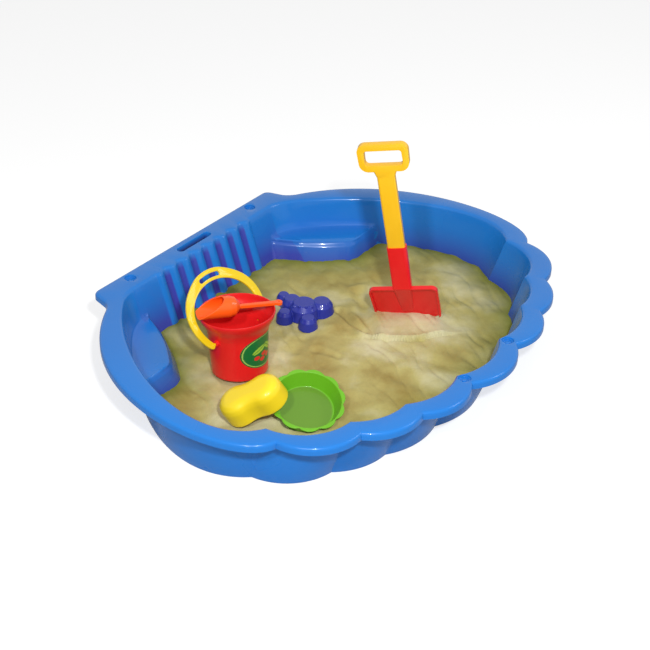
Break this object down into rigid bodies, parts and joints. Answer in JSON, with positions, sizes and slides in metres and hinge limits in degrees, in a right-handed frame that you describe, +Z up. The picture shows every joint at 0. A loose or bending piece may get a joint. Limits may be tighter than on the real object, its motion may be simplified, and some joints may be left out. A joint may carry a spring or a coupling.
{
  "type": "sandpit",
  "caption": "Open plastic sandpit with a scalloped edge, filled with sand, with a bucket and bail, spade, scoop, sieve and two moulds.",
  "frame": {"origin": "middle of the pit's outline, on the ground", "axes": "+X along the straight hinge flange, +Y towards the flange, +Z up"},
  "size_m": [1.1122, 0.865, 0.4963],
  "materials": {
    "pit_blue": "blue polyethylene with a soft gloss",
    "sand": null,
    "bucket_red": "glossy red polypropylene",
    "bail_yellow": "glossy yellow polypropylene",
    "scoop_orange": "glossy orange polypropylene",
    "spade_red": "glossy red polypropylene",
    "spade_yellow": "glossy warm yellow polypropylene",
    "mould_blue": "glossy dark blue polypropylene",
    "mould_yellow": "glossy yellow polypropylene",
    "sieve_green": "glossy green polypropylene"
  },
  "bodies": {
    "pit": {"sand_pit": "pit_blue", "sand_fill": "sand"},
    "bucket": {"bucket_shell": "bucket_red"},
    "bail": {"bucket_bail": "bail_yellow"},
    "scoop": {"hand_scoop": "scoop_orange"},
    "spade": {"spade_blade": "spade_red", "spade_handle": "spade_yellow"},
    "animal": {"animal_mould": "mould_blue"},
    "loaf": {"loaf_mould": "mould_yellow"},
    "sieve": {"sand_sieve": "sieve_green"}
  },
  "joints": [
    {"name": "bucket_lift", "type": "slide", "parent": "pit", "child": "bucket", "axis": [0, 0, 1], "range_m": [0, 0.2]},
    {"name": "bail_hinge", "type": "hinge", "parent": "bucket", "child": "bail", "pos_m": [-0.20272, 0.11068, 0.12165], "axis": [0.998, -0.0537, -0.0326], "range_deg": [-55, 5]},
    {"name": "scoop_lift", "type": "slide", "parent": "bucket", "child": "scoop", "axis": [0, 0, 1], "range_m": [0, 0.15]},
    {"name": "spade_pull", "type": "slide", "parent": "pit", "child": "spade", "axis": [-0.1399, 0.114, 0.9836], "range_m": [0, 0.2]},
    {"name": "animal_lift", "type": "slide", "parent": "pit", "child": "animal", "axis": [0, 0, 1], "range_m": [0, 0.15]},
    {"name": "sieve_lift", "type": "slide", "parent": "pit", "child": "sieve", "axis": [0, 0, 1], "range_m": [0, 0.15]},
    {"name": "loaf_lift", "type": "slide", "parent": "sieve", "child": "loaf", "axis": [0, 0, 1], "range_m": [0, 0.15]}
  ]
}
